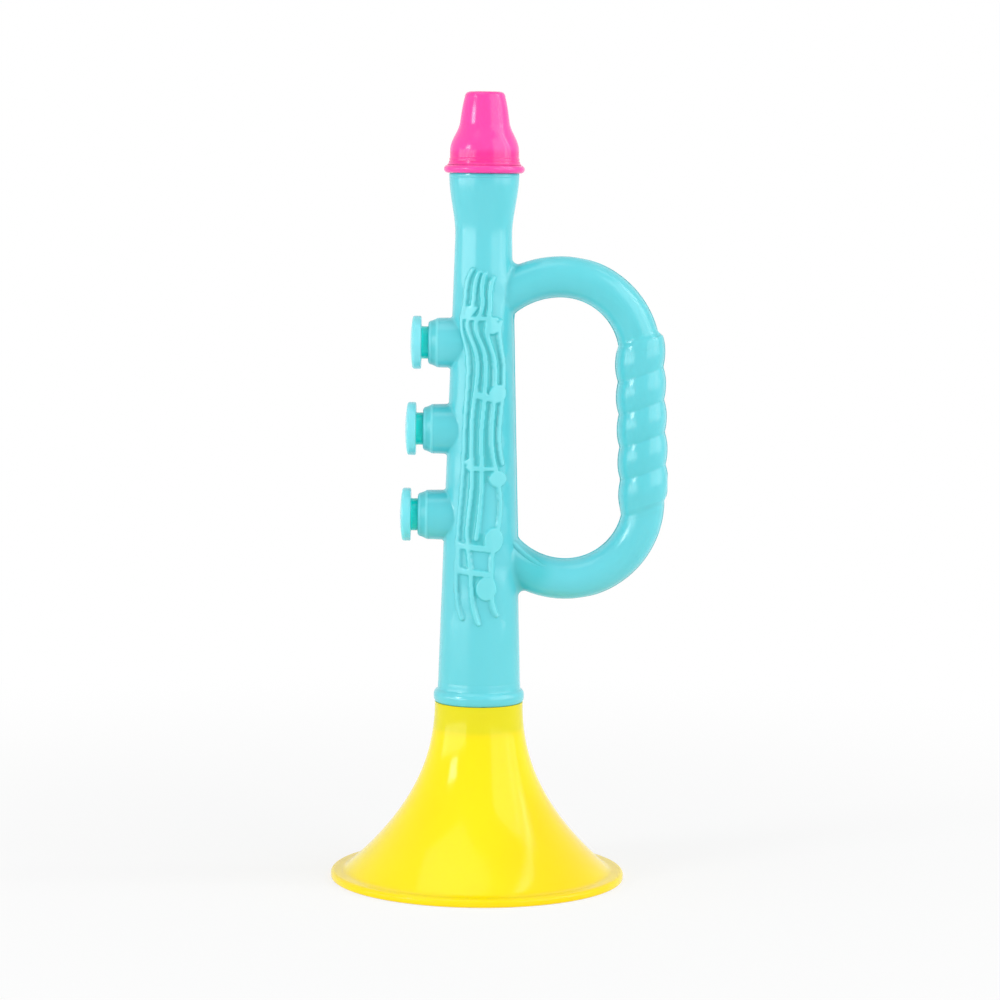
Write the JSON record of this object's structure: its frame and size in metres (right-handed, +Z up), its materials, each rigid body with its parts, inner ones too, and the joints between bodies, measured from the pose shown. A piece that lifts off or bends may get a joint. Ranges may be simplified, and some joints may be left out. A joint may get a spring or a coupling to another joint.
{
  "type": "toy trumpet",
  "caption": "Child's pretend-play trumpet standing on its flared yellow bell, with blue body, D handle, sprung finger buttons and a pink mouthpiece with a reed inside.",
  "frame": {"origin": "centre of the bell's rim plane, on which the trumpet stands", "axes": "+Z up the trumpet's axis from the bell to the mouthpiece, +X from the axis to the handle, -Y the front with the raised music pattern"},
  "size_m": [0.0713, 0.063, 0.168],
  "materials": {
    "yellow_plastic": "glossy, slightly translucent",
    "blue_plastic": "glossy, slightly translucent",
    "pink_plastic": "glossy, slightly translucent",
    "reed_plastic": "satin",
    "reed_film": "satin",
    "spring_steel": "drawn wire"
  },
  "bodies": {
    "trumpet": {"bell": "yellow_plastic", "front_shell": "blue_plastic", "back_shell": "blue_plastic", "mouthpiece": "pink_plastic", "reed_holder": "reed_plastic", "reed_tongue": "reed_film", "reed_clip": "reed_plastic", "upper_spring": "spring_steel", "middle_spring": "spring_steel", "lower_spring": "spring_steel"},
    "upper_button": {"upper_button": "blue_plastic"},
    "middle_button": {"middle_button": "blue_plastic"},
    "lower_button": {"lower_button": "blue_plastic"}
  },
  "joints": [
    {"name": "upper_button_press", "type": "slide", "parent": "trumpet", "child": "upper_button", "axis": [1, 0, 0], "range_m": [0, 0.0014], "stiffness_N_per_m": 300, "springref_m": -0.0005, "deforming": ["upper_spring"]},
    {"name": "middle_button_press", "type": "slide", "parent": "trumpet", "child": "middle_button", "axis": [1, 0, 0], "range_m": [0, 0.0014], "stiffness_N_per_m": 300, "springref_m": -0.0005, "deforming": ["middle_spring"]},
    {"name": "lower_button_press", "type": "slide", "parent": "trumpet", "child": "lower_button", "axis": [1, 0, 0], "range_m": [0, 0.0014], "stiffness_N_per_m": 300, "springref_m": -0.0005, "deforming": ["lower_spring"]}
  ]
}
